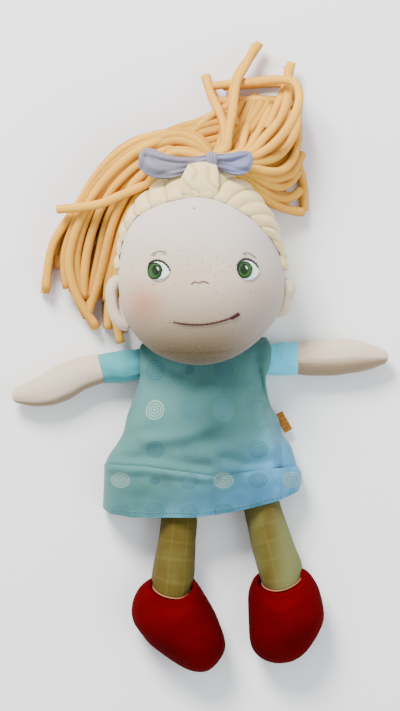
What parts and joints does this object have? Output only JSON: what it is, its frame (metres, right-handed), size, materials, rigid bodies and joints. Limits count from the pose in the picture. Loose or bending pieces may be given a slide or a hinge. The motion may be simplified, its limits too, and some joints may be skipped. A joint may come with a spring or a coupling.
{
  "type": "rag doll",
  "caption": "Soft cloth rag doll with jersey strand ponytails, an A-line dress, stuffed limbs and felt shoes, lying on its back; limbs, neck, hair and tag move.",
  "frame": {"origin": "centre of the doll's flat back, on the underside of the dress", "axes": "+Y towards the head, +Z out of the face and chest, +X towards the doll's left hand"},
  "size_m": [0.2347, 0.381, 0.0757],
  "materials": {
    "skin_velour": "brushed cotton velour",
    "stuffing": "polyester fibre",
    "scalp_jersey": "matt jersey",
    "hair_jersey": "rolled cotton jersey",
    "eye_thread": "embroidery thread",
    "brow_thread": "embroidery thread",
    "mouth_thread": "embroidery thread",
    "hair_elastic": "covered elastic",
    "bow_ribbon": "satin ribbon",
    "shirt_jersey": "matt jersey",
    "dress_cotton": "printed woven cotton",
    "leg_check": "checked woven cotton",
    "shoe_felt": "velour",
    "tag_woven": "woven label"
  },
  "bodies": {
    "torso": {"torso_cover": "shirt_jersey", "torso_stuffing": "stuffing", "dress_front": "dress_cotton", "dress_back": "dress_cotton", "right_skirt_front": "dress_cotton", "left_skirt_front": "dress_cotton"},
    "neck": {"neck_tube": "skin_velour"},
    "head": {"head_front_panel": "skin_velour", "head_back_panel": "skin_velour", "head_stuffing": "stuffing", "scalp_hair": "scalp_jersey", "right_eye": "eye_thread", "left_eye": "eye_thread", "right_brow": "brow_thread", "left_brow": "brow_thread", "nose_stitch": "brow_thread", "mouth_stitch": "mouth_thread", "right_ear": "skin_velour", "left_ear": "skin_velour", "hair_elastic": "hair_elastic", "right_bow_loop": "bow_ribbon", "left_bow_loop": "bow_ribbon", "bow_knot": "bow_ribbon"},
    "right_bunch": {"right_ponytail": "hair_jersey", "right_strand_1": "hair_jersey", "right_strand_2": "hair_jersey", "right_strand_3": "hair_jersey", "right_strand_4": "hair_jersey", "right_strand_5": "hair_jersey"},
    "left_bunch": {"left_ponytail": "hair_jersey", "left_strand_1": "hair_jersey", "left_strand_2": "hair_jersey", "left_strand_3": "hair_jersey", "left_strand_4": "hair_jersey", "left_strand_5": "hair_jersey"},
    "side_tag": {"side_tag": "tag_woven"},
    "right_shoulder": {"right_shoulder_stuffing": "stuffing"},
    "right_arm": {"right_sleeve": "shirt_jersey", "right_sleeve_stuffing": "stuffing"},
    "right_hand": {"right_hand": "skin_velour", "right_hand_stuffing": "stuffing"},
    "right_hip": {"right_hip_stuffing": "stuffing"},
    "right_leg": {"right_leg": "leg_check", "right_leg_stuffing": "stuffing"},
    "right_foot": {"right_shoe": "shoe_felt", "right_shoe_stuffing": "stuffing"},
    "left_shoulder": {"left_shoulder_stuffing": "stuffing"},
    "left_arm": {"left_sleeve": "shirt_jersey", "left_sleeve_stuffing": "stuffing"},
    "left_hand": {"left_hand": "skin_velour", "left_hand_stuffing": "stuffing"},
    "left_hip": {"left_hip_stuffing": "stuffing"},
    "left_leg": {"left_leg": "leg_check", "left_leg_stuffing": "stuffing"},
    "left_foot": {"left_shoe": "shoe_felt", "left_shoe_stuffing": "stuffing"}
  },
  "joints": [
    {"name": "neck_tilt", "type": "hinge", "parent": "torso", "child": "neck", "pos_m": [0, 0.043, 0.0076], "axis": [0, 0, 1], "range_deg": [-8, 8]},
    {"name": "head_nod", "type": "hinge", "parent": "neck", "child": "head", "pos_m": [0, 0.047, 0.0076], "axis": [1, 0, 0], "range_deg": [0, 6], "deforming": ["neck_tube"]},
    {"name": "right_bunch_lift", "type": "hinge", "parent": "head", "child": "right_bunch", "pos_m": [0, 0.15, 0.04], "axis": [0, 1, 0], "range_deg": [0, 12]},
    {"name": "left_bunch_lift", "type": "hinge", "parent": "head", "child": "left_bunch", "pos_m": [0, 0.15, 0.04], "axis": [0, -1, 0], "range_deg": [0, 12]},
    {"name": "side_tag_flip", "type": "hinge", "parent": "torso", "child": "side_tag", "pos_m": [0.0454, -0.00865, 0.006], "axis": [0.4822, -0.876, 0], "range_deg": [0, 50]},
    {"name": "right_arm_swing", "type": "hinge", "parent": "torso", "child": "right_shoulder", "pos_m": [-0.047, 0.027, 0.0098], "axis": [0, 0, 1], "range_deg": [-5, 40]},
    {"name": "right_arm_lift", "type": "hinge", "parent": "right_shoulder", "child": "right_arm", "pos_m": [-0.047, 0.027, 0.0098], "axis": [-0.225, 0.9744, 0], "range_deg": [0, 65]},
    {"name": "right_elbow_bend", "type": "hinge", "parent": "right_arm", "child": "right_hand", "pos_m": [-0.06259, 0.0234, 0.0098], "axis": [-0.225, 0.9744, 0], "range_deg": [0, 25]},
    {"name": "right_hip_lift", "type": "hinge", "parent": "torso", "child": "right_hip", "pos_m": [-0.0165, -0.044, 0.0124], "axis": [-1, 0, 0], "range_deg": [0, 90], "deforming": ["right_skirt_front"]},
    {"name": "right_leg_splay", "type": "hinge", "parent": "right_hip", "child": "right_leg", "pos_m": [-0.0165, -0.044, 0.0124], "axis": [0, 0, 1], "range_deg": [-20, 2]},
    {"name": "right_ankle_bend", "type": "hinge", "parent": "right_leg", "child": "right_foot", "pos_m": [-0.01868, -0.09395, 0.0124], "axis": [-0.999, 0.0436, 0], "range_deg": [0, 35]},
    {"name": "left_arm_swing", "type": "hinge", "parent": "torso", "child": "left_shoulder", "pos_m": [0.046, 0.03, 0.0098], "axis": [0, 0, 1], "range_deg": [-40, 15]},
    {"name": "left_arm_lift", "type": "hinge", "parent": "left_shoulder", "child": "left_arm", "pos_m": [0.046, 0.03, 0.0098], "axis": [0.0523, -0.9986, 0], "range_deg": [0, 65]},
    {"name": "left_elbow_bend", "type": "hinge", "parent": "left_arm", "child": "left_hand", "pos_m": [0.06198, 0.03084, 0.0098], "axis": [0.0523, -0.9986, 0], "range_deg": [0, 25]},
    {"name": "left_hip_lift", "type": "hinge", "parent": "torso", "child": "left_hip", "pos_m": [0.031, -0.044, 0.0124], "axis": [-1, 0, 0], "range_deg": [0, 90], "deforming": ["left_skirt_front"]},
    {"name": "left_leg_splay", "type": "hinge", "parent": "left_hip", "child": "left_leg", "pos_m": [0.031, -0.044, 0.0124], "axis": [0, 0, 1], "range_deg": [-2, 20]},
    {"name": "left_ankle_bend", "type": "hinge", "parent": "left_leg", "child": "left_foot", "pos_m": [0.04182, -0.09281, 0.0124], "axis": [-0.9763, -0.2164, 0], "range_deg": [0, 35]}
  ]
}
